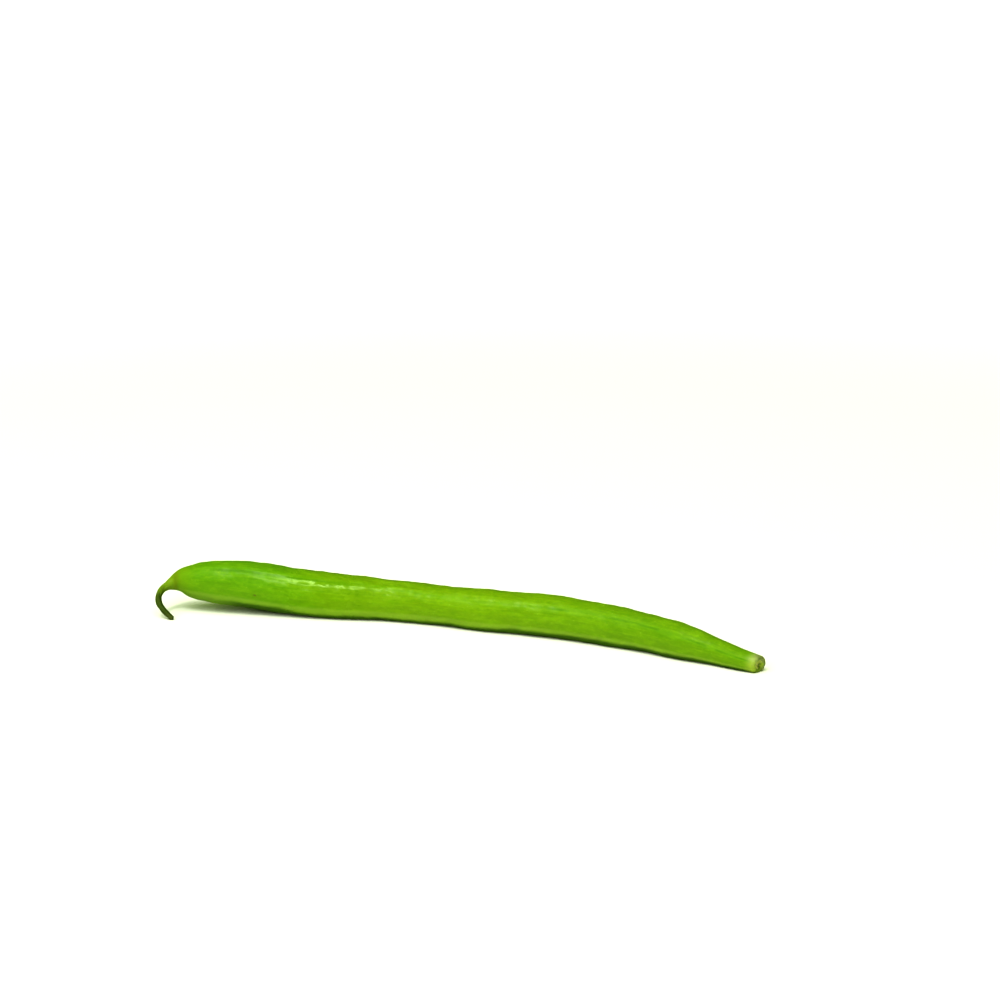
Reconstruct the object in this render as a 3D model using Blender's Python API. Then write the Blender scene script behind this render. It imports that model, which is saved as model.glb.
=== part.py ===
"""A fresh green bean, picked and lying on a flat surface.

The pod lies along X, with its stem scar at +X and its beak at -X. It bends a little to one side,
and the hollow side of that bend faces -Y. Z is up, and the surface that it rests on is Z = 0.
The bean grew as one piece, so it is one solid: the pod, the beak that its flower left, and the
scar where its stalk came off.
"""

from math import cos, exp, pi, radians, sin, tan
from typing import NamedTuple

import bmesh
import bpy
import numpy as np
from mathutils import Vector

MM = 0.001


class Station(NamedTuple):
    """A cross-section of the bean, in millimetres."""

    along: float  # where its middle is along X
    aside: float  # where its middle is along Y, which makes the bend
    lift: float  # how high its underside is above the surface
    thick: float  # its diameter


# The weight of the bean presses its underside flat by this much where it rests.
RESTING = -0.25

# The bean from its stem scar to the tip of its beak. It rests along its straight part, and its
# last third rises a little, up to the beak, which hooks round towards -Y and down to the surface.
STATIONS = (
    Station(64.6, -4.6, RESTING, 3.8),
    Station(60.5, -3.6, RESTING, 4.6),
    Station(56.0, -2.1, RESTING, 5.5),
    Station(50.0, -0.5, RESTING, 6.8),
    Station(42.0, 2.0, RESTING, 7.6),
    Station(30.0, 4.6, RESTING, 8.3),
    Station(18.0, 6.0, RESTING, 8.6),
    Station(0.0, 6.1, RESTING, 8.5),
    Station(-16.0, 6.5, RESTING, 8.5),
    Station(-27.0, 4.8, RESTING, 9.2),
    Station(-37.5, 3.1, -0.1, 9.8),
    Station(-48.0, 1.7, 0.9, 9.8),
    Station(-54.5, 0.4, 1.5, 9.5),
    Station(-58.8, -0.7, 2.2, 8.4),
    Station(-61.8, -1.5, 3.0, 6.8),
    Station(-63.7, -2.1, 3.7, 5.2),
    Station(-65.2, -3.0, 4.3, 3.2),
    Station(-66.1, -4.6, 4.6, 1.8),
    Station(-66.5, -6.3, 4.3, 1.4),
    Station(-66.2, -8.2, 3.5, 1.3),
    Station(-65.3, -9.6, 2.4, 1.2),
    Station(-63.9, -10.2, 1.2, 1.2),
    Station(-62.2, -10.3, -0.1, 1.0),
)
BEAK_STARTS_UNDER = 3.0  # the thickness, in millimetres, at which the pod becomes the beak

# The section is a little deeper from seam to seam than across, and the seams stand proud.
# They twist round the pod: angles run from -Y round to +Z.
SEAM_DEPTH_SHARE = 1.03
SEAM_WIDTH_SHARE = 0.98
SEAM_RIDGE = 0.15 * MM
SEAM_HALF_WIDTH = radians(14)
SEAM_ANGLE_AT_STEM = radians(22)
SEAM_ANGLE_AT_BEAK = radians(50)

# The seeds press the pod's sides out in a row of low swellings, a little unevenly spaced.
SEED_DISTANCES = (18.5, 33.5, 48.0, 63.0, 80.5, 96.0, 112.0)  # from the stem scar, in millimetres
SEED_HALF_LENGTH = 5.0 * MM
SEED_SWELLING = 0.25 * MM

# Ridge and swellings fade out where the bean is thinner than this radius.
FULL_RADIUS = 4.0 * MM

# The stem scar is a rounded lip round a dished face with a pit in its middle.
# It was broken off at a slant, which turns it a little to -Y.
SCAR_LIP = 0.5 * MM
SCAR_FACE_SHARE = 0.42
SCAR_FACE_DEPTH = 0.2 * MM
SCAR_PIT_SHARE = 0.26
SCAR_PIT_DEPTH = 0.75 * MM
SCAR_PIT_FLOOR_SHARE = 0.13
SCAR_SLANT = radians(16)
SCAR_SLANT_REACH = 6.0 * MM

# How finely the solid is cut.
SIDES = 32
RING_GAP_SHARE = 0.2
RING_GAP_LEAST = 0.35 * MM
RING_GAP_MOST = 1.6 * MM
LIP_STEPS = 5
TIP_STEPS = 3

SKIN, BEAK, SCAR = range(3)
FINISHES = {
    "pod_skin": ((0.17, 0.40, 0.010), 0.42),
    "beak": ((0.085, 0.14, 0.015), 0.60),
    "stem_scar": ((0.41, 0.53, 0.10), 0.75),
}


def clear_scene():
    """Removes what the file opens with."""
    for scene_object in list(bpy.data.objects):
        bpy.data.objects.remove(scene_object)


def natural_spline(knots, values, places):
    """Reads the natural cubic spline through values at knots, at the places given."""
    gaps = np.diff(knots)
    slopes = np.diff(values, axis=0) / gaps[:, None]
    count = len(knots)
    system = np.eye(count)
    bends = np.zeros_like(values)
    for row in range(1, count - 1):
        before, after = gaps[row - 1], gaps[row]
        system[row, row - 1 : row + 2] = before, 2 * (before + after), after
        bends[row] = 6 * (slopes[row] - slopes[row - 1])
    bends = np.linalg.solve(system, bends)
    cell = np.clip(np.searchsorted(knots, places) - 1, 0, count - 2)
    gap = gaps[cell][:, None]
    past = (places - knots[cell])[:, None]
    left = gap - past
    return (
        (bends[cell] * left**3 + bends[cell + 1] * past**3) / (6 * gap)
        + (values[cell] / gap - bends[cell] * gap / 6) * left
        + (values[cell + 1] / gap - bends[cell + 1] * gap / 6) * past
    )


class Spine:
    """The bean's middle line, with the bean's radius at each place along it."""

    def __init__(self, stations):
        middles = [(s.along, s.aside, s.lift + s.thick / 2) for s in stations]
        self.values = np.array([(*middle, s.thick / 2) for middle, s in zip(middles, stations)]) * MM
        steps = np.linalg.norm(np.diff(self.values[:, :3], axis=0), axis=1)
        self.knots = np.concatenate([[0.0], np.cumsum(steps)])
        self.length = self.knots[-1]

    def at(self, distance):
        """The middle and the radius, at a distance from the stem scar."""
        x, y, z, radius = natural_spline(self.knots, self.values, np.array([distance]))[0]
        return Vector((x, y, z)), radius

    def axes(self, distance):
        """The unit vectors towards the beak, aside and up, square to each other."""
        reach = 0.2 * MM
        before, _ = self.at(max(distance - reach, 0.0))
        after, _ = self.at(min(distance + reach, self.length))
        ahead = (after - before).normalized()
        aside = Vector((0, 0, 1)).cross(ahead).normalized()
        return ahead, aside, ahead.cross(aside)

    def ring_places(self):
        """Distances for the rings, closer together where the bean is thin."""
        found = [0.0]
        while found[-1] < self.length:
            _, radius = self.at(found[-1])
            gap = 2 * radius * RING_GAP_SHARE
            found.append(found[-1] + min(max(gap, RING_GAP_LEAST), RING_GAP_MOST))
        stretch = self.length / found[-1]
        return [place * stretch for place in found]


def seed_swelling(distance):
    """How full the swelling over the seeds is at this distance, from 0 to 1."""
    return sum(exp(-(((distance - seed * MM) / SEED_HALF_LENGTH) ** 2)) for seed in SEED_DISTANCES)


def section_radius(spine, distance, radius, angle):
    """How far the skin is from the middle line, in the direction of angle."""
    share = distance / spine.length
    seam = SEAM_ANGLE_AT_STEM + (SEAM_ANGLE_AT_BEAK - SEAM_ANGLE_AT_STEM) * share
    turn = angle - seam
    oval = (cos(turn) / SEAM_DEPTH_SHARE) ** 2 + (sin(turn) / SEAM_WIDTH_SHARE) ** 2
    from_seam = abs((turn + pi / 2) % pi - pi / 2)
    ridge = SEAM_RIDGE * exp(-((from_seam / SEAM_HALF_WIDTH) ** 2))
    swelling = SEED_SWELLING * seed_swelling(distance) * sin(turn) ** 2
    fullness = min(1.0, radius / FULL_RADIUS) ** 2
    return radius / oval**0.5 + fullness * (ridge + swelling)


def ring(spine, distance, shrink=1.0, forward=0.0):
    """One ring of points. It can be shrunk, and moved forward along the middle line."""
    middle, radius = spine.at(distance)
    ahead, aside, up = spine.axes(distance)
    slant = tan(SCAR_SLANT) * max(0.0, 1 - distance / SCAR_SLANT_REACH) ** 2
    points = []
    for number in range(SIDES):
        angle = 2 * pi * number / SIDES
        reach = section_radius(spine, distance, radius, angle) * shrink
        across = reach * cos(angle)
        point = middle + aside * across + up * (reach * sin(angle)) + ahead * (forward + slant * across)
        point.z = max(point.z, 0.0)
        points.append(point)
    return points


def scar_rings(spine):
    """The rings of the stem scar, from the bottom of its pit out over its lip."""
    _, radius = spine.at(0.0)
    lip_share = SCAR_LIP / radius
    profile = [
        (SCAR_PIT_FLOOR_SHARE, SCAR_PIT_DEPTH),
        (SCAR_PIT_SHARE, SCAR_FACE_DEPTH),
        (SCAR_FACE_SHARE, SCAR_FACE_DEPTH),
    ]
    for step in range(1, LIP_STEPS):
        turn = pi * (1 - step / LIP_STEPS)
        profile.append((1 - lip_share * (1 - cos(turn)), -SCAR_LIP * sin(turn)))
    return [ring(spine, 0.0, share, depth) for share, depth in profile]


def tip_rings(spine):
    """The rings that round off the tip of the beak."""
    _, radius = spine.at(spine.length)
    turns = [pi / 2 * step / (TIP_STEPS + 1) for step in range(1, TIP_STEPS + 1)]
    return [ring(spine, spine.length, cos(turn), radius * sin(turn)) for turn in turns]


def loft(rings, finishes):
    """A closed mesh through the rings, with each end ring closed round a middle point."""
    bm = bmesh.new()
    loops = [[bm.verts.new(point) for point in points] for points in rings]
    for near, far, finish in zip(loops, loops[1:], finishes):
        for side in range(SIDES):
            after = (side + 1) % SIDES
            face = bm.faces.new((near[side], near[after], far[after], far[side]))
            face.material_index = finish
    for loop, finish in ((loops[0], finishes[0]), (loops[-1], finishes[-1])):
        middle = bm.verts.new(sum((v.co for v in loop), Vector()) / SIDES)
        for side in range(SIDES):
            face = bm.faces.new((middle, loop[side], loop[(side + 1) % SIDES]))
            face.material_index = finish
    bmesh.ops.recalc_face_normals(bm, faces=bm.faces)
    return bm


def centre_over_origin(bm):
    """Moves the mesh sideways, until the middle of its footprint is over the origin."""
    xs = [v.co.x for v in bm.verts]
    ys = [v.co.y for v in bm.verts]
    middle = Vector(((min(xs) + max(xs)) / 2, (min(ys) + max(ys)) / 2, 0))
    bmesh.ops.translate(bm, verts=bm.verts, vec=-middle)


def make_material(name, colour, roughness):
    """A plain material of one colour."""
    material = bpy.data.materials.new(name)
    material.use_nodes = True
    shader = material.node_tree.nodes["Principled BSDF"]
    shader.inputs["Base Color"].default_value = (*colour, 1)
    shader.inputs["Roughness"].default_value = roughness
    shader.inputs["Metallic"].default_value = 0
    return material


def make_pod():
    """The whole bean: its scar, its pod and its beak in one mesh."""
    spine = Spine(STATIONS)
    beak_station = next(s for s in STATIONS if s.thick < BEAK_STARTS_UNDER)
    beak_start = spine.knots[STATIONS.index(beak_station)]
    scar = scar_rings(spine)
    places = spine.ring_places()
    tip = tip_rings(spine)
    rings = scar + [ring(spine, place) for place in places] + tip
    finishes = (
        [SCAR] * len(scar)
        + [BEAK if place > beak_start else SKIN for place in places]
        + [BEAK] * len(tip)
    )
    bm = loft(rings, finishes)
    centre_over_origin(bm)
    mesh = bpy.data.meshes.new("pod")
    bm.to_mesh(mesh)
    bm.free()
    mesh.shade_smooth()
    mesh.set_sharp_from_angle(angle=radians(50))
    for name, (colour, roughness) in FINISHES.items():
        mesh.materials.append(make_material(name, colour, roughness))
    return bpy.data.objects.new("pod", mesh)


def main():
    """Builds the bean in a collection of its own."""
    clear_scene()
    collection = bpy.data.collections.new("green_bean")
    bpy.context.scene.collection.children.link(collection)
    collection.objects.link(make_pod())


main()
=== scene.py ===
"""The looks of a fresh green bean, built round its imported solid.

The bean lies along X, with its stem scar at +X and its beak at -X, and rests on Z = 0. Its skin is one
grid that follows the middle line and keeps to the two seams, so the seams, the swellings over the
seeds, the fibres and the wrinkles are real relief. Lengths are in metres unless a name says otherwise.
"""

import logging
from dataclasses import dataclass, field
from enum import Enum
from math import pi, radians, tan
from typing import NamedTuple

import bpy
import numpy as np
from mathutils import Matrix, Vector, noise
from mathutils.bvhtree import BVHTree


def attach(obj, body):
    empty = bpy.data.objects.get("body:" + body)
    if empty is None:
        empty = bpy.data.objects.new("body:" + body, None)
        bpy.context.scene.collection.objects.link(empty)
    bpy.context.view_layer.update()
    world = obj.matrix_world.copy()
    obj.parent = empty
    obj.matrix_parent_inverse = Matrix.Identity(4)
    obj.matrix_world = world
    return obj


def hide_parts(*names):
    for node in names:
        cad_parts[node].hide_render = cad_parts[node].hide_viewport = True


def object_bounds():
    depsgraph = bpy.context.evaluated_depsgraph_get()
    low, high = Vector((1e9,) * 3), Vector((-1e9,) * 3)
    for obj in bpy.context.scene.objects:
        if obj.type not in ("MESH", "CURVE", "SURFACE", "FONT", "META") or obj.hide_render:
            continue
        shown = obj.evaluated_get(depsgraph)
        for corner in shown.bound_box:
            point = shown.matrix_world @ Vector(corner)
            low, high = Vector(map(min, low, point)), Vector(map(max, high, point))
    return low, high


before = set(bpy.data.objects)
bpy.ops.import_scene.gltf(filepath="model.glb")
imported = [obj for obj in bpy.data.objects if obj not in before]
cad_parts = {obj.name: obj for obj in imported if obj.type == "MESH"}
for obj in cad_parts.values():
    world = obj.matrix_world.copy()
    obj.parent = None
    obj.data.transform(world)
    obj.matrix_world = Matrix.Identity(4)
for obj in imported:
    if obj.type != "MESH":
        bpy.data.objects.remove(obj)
CAD_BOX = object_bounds()

LOG = logging.getLogger("green_bean")
MM = 0.001
BODY = "root"
CAD_NODE = "pod"

Array = np.ndarray
Colour = tuple[float, float, float]
Place = tuple[float, float, float]
Limits = tuple[float, float]  # where a mask is 0, and where it is 1


class Slot(Enum):
    """The record's material slots."""

    POD_SKIN = "pod_skin"
    BEAK = "beak"
    STEM_SCAR = "stem_scar"


class Blend(Enum):
    """How a Mix node joins two colours."""

    MIX = "MIX"
    MULTIPLY = "MULTIPLY"


def smooth(values: Array, low: float, high: float) -> Array:
    """Runs from 0 at low to 1 at high, level at both ends.

    Args:
        values: Any numbers.
        low: Where the result leaves 0.
        high: Where the result reaches 1. It may lie below low.

    Returns:
        Numbers from 0 to 1, in the shape of values.
    """
    share = np.clip((values - low) / (high - low), 0.0, 1.0)
    return share * share * (3.0 - 2.0 * share)


def hill(values: Array, half_width: float) -> Array:
    """A bell that is 1 at 0 and has fallen to 1/e at half_width."""
    return np.exp(-((values / half_width) ** 2))


def rough(points: Array, octaves: int = 1) -> Array:
    """Perlin noise at points.

    Args:
        points: An array whose last axis is x, y and z, in noise cells.
        octaves: How many layers of ever finer noise are added up.

    Returns:
        Numbers round 0, mostly between -0.5 and 0.5, one for each point.
    """
    flat = points.reshape(-1, 3).tolist()
    total = np.zeros(len(flat))
    for octave in range(octaves):
        scale = 2.0**octave
        layer = (noise.noise(Vector(point) * scale) for point in flat)
        total += np.fromiter(layer, float, len(flat)) / scale
    return total.reshape(points.shape[:-1])


def natural_spline(values: Array, shares: Array) -> Array:
    """Reads the natural cubic spline through evenly spaced values.

    Args:
        values: One row for each knot, the first at share 0 and the last at share 1.
        shares: Where the spline is read.

    Returns:
        One row for each share.
    """
    knots = np.linspace(0.0, 1.0, len(values))
    return read_spline(knots, values, spline_bends(knots, values), shares)


def spline_bends(knots: Array, values: Array) -> Array:
    """The second derivatives that a natural cubic spline has at its knots.

    Args:
        knots: Where the values lie, in rising order.
        values: One row for each knot.

    Returns:
        One row for each knot.
    """
    gaps = np.diff(knots)
    slopes = np.diff(values, axis=0) / gaps[:, None]
    count = len(knots)
    system = np.eye(count)
    sums = np.zeros_like(values)
    for row in range(1, count - 1):
        before, after = gaps[row - 1], gaps[row]
        system[row, row - 1 : row + 2] = before, 2 * (before + after), after
        sums[row] = 6 * (slopes[row] - slopes[row - 1])
    return np.linalg.solve(system, sums)


def read_spline(knots: Array, values: Array, bends: Array, places: Array) -> Array:
    """Reads a cubic spline.

    Args:
        knots: Where the values lie, in rising order.
        values: One row for each knot.
        bends: The second derivatives at the knots.
        places: Where the spline is read.

    Returns:
        One row for each place.
    """
    cell = np.clip(np.searchsorted(knots, places) - 1, 0, len(knots) - 2)
    gap = np.diff(knots)[cell][:, None]
    past = (places - knots[cell])[:, None]
    left = gap - past
    return (
        (bends[cell] * left**3 + bends[cell + 1] * past**3) / (6 * gap)
        + (values[cell] / gap - bends[cell] * gap / 6) * left
        + (values[cell + 1] / gap - bends[cell + 1] * gap / 6) * past
    )


class Station(NamedTuple):
    """A cross-section of the bean, in millimetres."""

    along: float  # where its middle is along X
    aside: float  # where its middle is along Y
    lift: float  # how high its underside is above the surface
    thick: float  # its diameter


RESTING = -0.25  # millimetres by which the bean's weight presses its underside flat
CREASE = radians(60)  # a fold that turns more than this is shaded as an edge
STATIONS = (
    Station(64.6, -4.6, RESTING, 3.8),
    Station(60.5, -3.6, RESTING, 4.6),
    Station(56.0, -2.1, RESTING, 5.5),
    Station(50.0, -0.5, RESTING, 6.8),
    Station(42.0, 2.0, RESTING, 7.6),
    Station(30.0, 4.6, RESTING, 8.3),
    Station(18.0, 6.0, RESTING, 8.6),
    Station(0.0, 6.1, RESTING, 8.5),
    Station(-16.0, 6.5, RESTING, 8.5),
    Station(-27.0, 4.8, RESTING, 9.2),
    Station(-37.5, 3.1, -0.1, 9.8),
    Station(-48.0, 1.7, 0.9, 9.8),
    Station(-54.5, 0.4, 1.5, 9.5),
    Station(-58.8, -0.7, 2.2, 8.4),
    Station(-61.8, -1.5, 3.0, 6.8),
    Station(-63.7, -2.1, 3.7, 5.2),
    Station(-65.2, -3.0, 4.3, 3.2),
    Station(-66.1, -4.6, 4.6, 1.8),
    Station(-66.5, -6.3, 4.3, 1.4),
    Station(-66.2, -8.2, 3.5, 1.3),
    Station(-65.3, -9.6, 2.4, 1.2),
    Station(-63.9, -10.2, 1.2, 1.2),
    Station(-62.2, -10.3, -0.1, 1.0),
)
BEAK_STARTS_UNDER = 3.0  # the thickness, in millimetres, at which the pod becomes the beak


class Spine:
    """The bean's middle line, from the stem scar to the tip of the beak, and its radius there."""

    def __init__(self, stations: tuple[Station, ...]) -> None:
        """Lays a natural cubic spline through the stations.

        Args:
            stations: The bean's cross-sections, from the stem scar on.
        """
        rows = [(s.along, s.aside, s.lift + s.thick / 2, s.thick / 2) for s in stations]
        self.values = np.array(rows) * MM
        steps = np.linalg.norm(np.diff(self.values[:, :3], axis=0), axis=1)
        self.knots = np.concatenate([[0.0], np.cumsum(steps)])
        self.bends = spline_bends(self.knots, self.values)

    @property
    def length(self) -> float:
        """The length of the middle line."""
        return float(self.knots[-1])

    def at(self, distances: Array) -> tuple[Array, Array]:
        """Reads the middle line.

        Args:
            distances: How far along the line, from the stem scar.

        Returns:
            The middles, one row each, and the radii.
        """
        read = read_spline(self.knots, self.values, self.bends, distances)
        return read[:, :3], read[:, 3]

    def axes(self, distances: Array) -> tuple[Array, Array, Array]:
        """Unit vectors towards the beak, aside and up, square to each other.

        Args:
            distances: How far along the line, from the stem scar.

        Returns:
            The three vectors at each distance, one row each.
        """
        reach = 0.2 * MM
        before, _ = self.at(np.maximum(distances - reach, 0.0))
        after, _ = self.at(np.minimum(distances + reach, self.length))
        ahead = after - before
        ahead /= np.linalg.norm(ahead, axis=1)[:, None]
        aside = np.cross((0.0, 0.0, 1.0), ahead)
        aside /= np.linalg.norm(aside, axis=1)[:, None]
        return ahead, aside, np.cross(ahead, aside)


@dataclass(frozen=True)
class Seams:
    """The two seams where the pod's halves meet: low ridges, each with a fine groove on its crest."""

    angles_deg: tuple[float, ...] = (24, 35, 40, 37, 40, 52, 50, 48, 50)
    depth_share: float = 1.03
    width_share: float = 0.98
    ridge: float = 0.05 * MM
    ridge_half_width: float = radians(14)
    groove: float = 0.030 * MM
    groove_half_width: float = radians(4.5)
    crowding: float = 0.5

    def angle(self, shares: Array) -> Array:
        """The direction of the first seam, at shares of the bean's length."""
        return np.radians(natural_spline(np.array(self.angles_deg, float)[:, None], shares)[:, 0])

    def turns(self, sides: int) -> Array:
        """Directions round a section, counted from the first seam.

        Args:
            sides: How many directions to give.

        Returns:
            Angles from 0 up to a full turn, closest together at the two seams.
        """
        even = np.arange(sides) / sides
        return 2 * pi * even - self.crowding * np.sin(4 * pi * even) / 2


@dataclass(frozen=True)
class Seeds:
    """The low swellings that the seeds press into the pod's sides."""

    distances_mm: tuple[float, ...] = (18.5, 33.5, 48.0, 63.0, 80.5, 96.0, 112.0)
    half_length: float = 5.8 * MM
    swelling: float = 0.23 * MM

    def fullness(self, distances: Array) -> Array:
        """How full the swelling is at each distance from the stem scar, from 0 to 1."""
        return sum(hill(distances - seed * MM, self.half_length) for seed in self.distances_mm)


@dataclass(frozen=True)
class SkinRelief:
    """The small unevenness of the skin: dents, lengthwise fibres, and the beak's dry wrinkles."""

    dent_depth: float = 0.16 * MM
    dent_length: float = 9.0 * MM
    dent_width: float = 4.5 * MM
    ripple_depth: float = 0.12 * MM
    ripple_length: float = 2.8 * MM
    ripple_width: float = 1.7 * MM
    fibre_depth: float = 0.022 * MM
    fibre_length: float = 12.0 * MM
    fibre_width: float = 0.75 * MM
    pebble_depth: float = 0.012 * MM
    pebble_size: float = 0.9 * MM
    wrinkle_depth: float = 0.13 * MM
    wrinkle_length: float = 3.5 * MM
    wrinkle_width: float = 0.42 * MM

    @staticmethod
    def _layer(grain: Array, length: float, width: float, octaves: int) -> Array:
        """Noise in cells of this length along the bean and this width across it."""
        return rough(grain / np.array((length, width, width)), octaves)

    def height(self, grain: Array, fullness: Array, dryness: Array) -> Array:
        """How far the relief lifts the skin.

        Args:
            grain: The distance along the bean and the place across it, in metres, for each point.
            fullness: 1 where the pod is full, less where it is thin, for each ring.
            dryness: 1 on the dry beak and 0 on the fresh pod, for each ring.

        Returns:
            Heights in metres, one for each point.
        """
        dents = self.dent_depth * self._layer(grain, self.dent_length, self.dent_width, 2)
        ripples = self.ripple_depth * self._layer(grain, self.ripple_length, self.ripple_width, 2)
        fibres = self.fibre_depth * self._layer(grain, self.fibre_length, self.fibre_width, 2)
        pebbles = self.pebble_depth * self._layer(grain, self.pebble_size, self.pebble_size, 1)
        wrinkles = self.wrinkle_depth * self._layer(grain, self.wrinkle_length, self.wrinkle_width, 2)
        fresh = (dents + ripples + fibres + pebbles) * (fullness * (1 - dryness))[:, None]
        return fresh + wrinkles * dryness[:, None]


@dataclass(frozen=True)
class Rings:
    """Where rings of points lie: one distance for each ring, and the rest for each of its points."""

    distance: Array  # along the middle line, from the stem scar
    shrink: Array  # the share of its full reach to which a point is drawn in
    forward: Array  # how far a point is moved towards the beak, past its distance
    from_rim: Array  # the way over the surface from the inner edge of the scar's lip

    @classmethod
    def full(cls, distances: Array, sides: int, way_before: float) -> "Rings":
        """Rings on the skin itself.

        Args:
            distances: One for each ring, from the stem scar.
            sides: How many points a ring has.
            way_before: The way over the surface from the inner edge of the lip to the first ring.

        Returns:
            Rings that are neither drawn in nor moved forward.
        """
        level = np.ones((len(distances), sides))
        return cls(distances, level, 0 * level, (distances + way_before)[:, None] * level)

    def then(self, other: "Rings") -> "Rings":
        """These rings, followed by the others."""
        return Rings(*(np.concatenate(pair) for pair in zip(self.fields(), other.fields())))

    def fields(self) -> tuple[Array, Array, Array, Array]:
        """The four arrays."""
        return self.distance, self.shrink, self.forward, self.from_rim


@dataclass
class Patch:
    """A grid of points on the bean, with what its finish needs to know at each of them."""

    points: Array
    facts: dict[str, Array]


@dataclass
class BeanShape:
    """The bean's whole surface, read at any distance from the stem scar and any turn round it."""

    spine: Spine = field(default_factory=lambda: Spine(STATIONS))
    seams: Seams = field(default_factory=Seams)
    seeds: Seeds = field(default_factory=Seeds)
    relief: SkinRelief = field(default_factory=SkinRelief)
    sides: int = 144
    full_radius: float = 4.0 * MM
    dry_reach: float = 2.5 * MM
    neck_reach: float = 3.0 * MM
    neck_dryness: float = 0.3
    relief_starts_within: float = 1.5 * MM
    scar_slant: float = radians(16)
    scar_slant_reach: float = 6.0 * MM
    underside_height: float = 3.0 * MM
    underside_lift: float = 0.05 * MM
    cheek: float = 0.30 * MM
    cheek_height: float = 0.72
    cheek_spread: float = 0.32
    shift: Array = field(default_factory=lambda: np.zeros(3))

    @property
    def beak_start(self) -> float:
        """The distance from the stem scar at which the pod becomes the beak."""
        first = next(s for s in STATIONS if s.thick < BEAK_STARTS_UNDER)
        return float(self.spine.knots[STATIONS.index(first)])

    @property
    def turns(self) -> Array:
        """The directions of a ring's points, counted from the first seam."""
        return self.seams.turns(self.sides)

    def settle(self, low: Vector, high: Vector, ring_gap: float = 0.5 * MM) -> None:
        """Moves the bean sideways, until the middle of its footprint is that of the box.

        Args:
            low: The lowest corner of the box.
            high: The highest corner of the box.
            ring_gap: How far apart the rings are that are laid to measure the bean.
        """
        distances = np.arange(0.0, self.spine.length, ring_gap)
        points = self.patch(Rings.full(distances, self.sides, 0.0)).points.reshape(-1, 3)
        middle = (points.min(axis=0) + points.max(axis=0)) / 2
        self.shift = self.shift + np.array((*(low + high).xy / 2, 0.0)) - (*middle[:2], 0.0)

    def angles(self, distances: Array) -> Array:
        """The directions of each ring's points, counted from straight aside, one row for each ring."""
        return self.seams.angle(distances / self.spine.length)[:, None] + self.turns

    def skin_reach(self, distances: Array) -> Array:
        """How far the skin is from the middle line, before its small unevenness.

        Args:
            distances: One for each ring, from the stem scar.

        Returns:
            Reaches, one row for each ring.
        """
        _, radii = self.spine.at(distances)
        fullness = np.minimum(1.0, radii / self.full_radius) ** 2
        deep = np.cos(self.turns) / self.seams.depth_share
        wide = np.sin(self.turns) / self.seams.width_share
        crest = self.seams.ridge * hill(self.from_seam, self.seams.ridge_half_width)
        groove = self.seams.groove * hill(self.from_seam, self.seams.groove_half_width)
        bulge = self.seeds.swelling * self.seeds.fullness(distances)[:, None] * np.sin(self.turns) ** 2
        cheeks = self.cheek * hill(np.sin(self.angles(distances)) + self.cheek_height, self.cheek_spread)
        relief = crest - groove + bulge + cheeks
        return radii[:, None] / np.hypot(deep, wide) + fullness[:, None] * relief

    @property
    def from_seam(self) -> Array:
        """How far each of a ring's points is from the nearer seam, as an angle."""
        return np.abs((self.turns + pi / 2) % pi - pi / 2)

    def unevenness(self, rings: Rings, grain: Array) -> Array:
        """How far the skin's small relief lifts each point.

        Args:
            rings: Where the rings lie.
            grain: The way along the bean and the place across it, for each point.

        Returns:
            Heights, which are 0 on the lip of the scar.
        """
        _, radii = self.spine.at(rings.distance)
        fullness = np.minimum(1.0, radii / self.full_radius) ** 2
        at_beak = smooth(rings.distance, self.beak_start - self.dry_reach, self.beak_start + self.dry_reach)
        at_neck = self.neck_dryness * hill(rings.distance, self.neck_reach)
        started = smooth(rings.distance, 0.0, self.relief_starts_within)
        return started[:, None] * self.relief.height(grain, fullness, at_beak + at_neck)

    def patch(self, rings: Rings) -> Patch:
        """Lays rings of points on the bean.

        Args:
            rings: Where the rings lie.

        Returns:
            The grid of points and its facts, whose lengths are in millimetres.
        """
        middles, _ = self.spine.at(rings.distance)
        ahead, aside, up = (axis[:, None, :] for axis in self.spine.axes(rings.distance))
        angles = self.angles(rings.distance)
        reach = self.skin_reach(rings.distance) * rings.shrink
        grain = np.stack([rings.from_rim, reach * np.cos(angles), reach * np.sin(angles)], axis=-1)
        reach = reach + self.unevenness(rings, grain)
        slant = tan(self.scar_slant) * np.maximum(0.0, 1 - rings.distance / self.scar_slant_reach) ** 2
        sideways, upward = reach * np.cos(angles), reach * np.sin(angles)
        onward = rings.forward + slant[:, None] * sideways
        points = middles[:, None, :] + sum(
            axis * length[..., None] for axis, length in ((aside, sideways), (up, upward), (ahead, onward))
        )
        lift = self.underside_lift * smooth(points[..., 2], self.underside_height, RESTING * MM)
        points[..., 2] = np.maximum(points[..., 2] + lift, 0.0)
        level = np.ones_like(angles)
        facts = {
            "grain": grain / MM,
            "from_rim": rings.from_rim / MM,
            "past_pod": (rings.distance[:, None] - self.beak_start) * level / MM,
            "front_side": np.cos(angles),
            "upper_side": np.sin(angles),
            "seam": level * hill(self.from_seam, self.seams.ridge_half_width),
            "groove": level * hill(self.from_seam, self.seams.groove_half_width),
        }
        return Patch(points + self.shift, facts)


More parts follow.
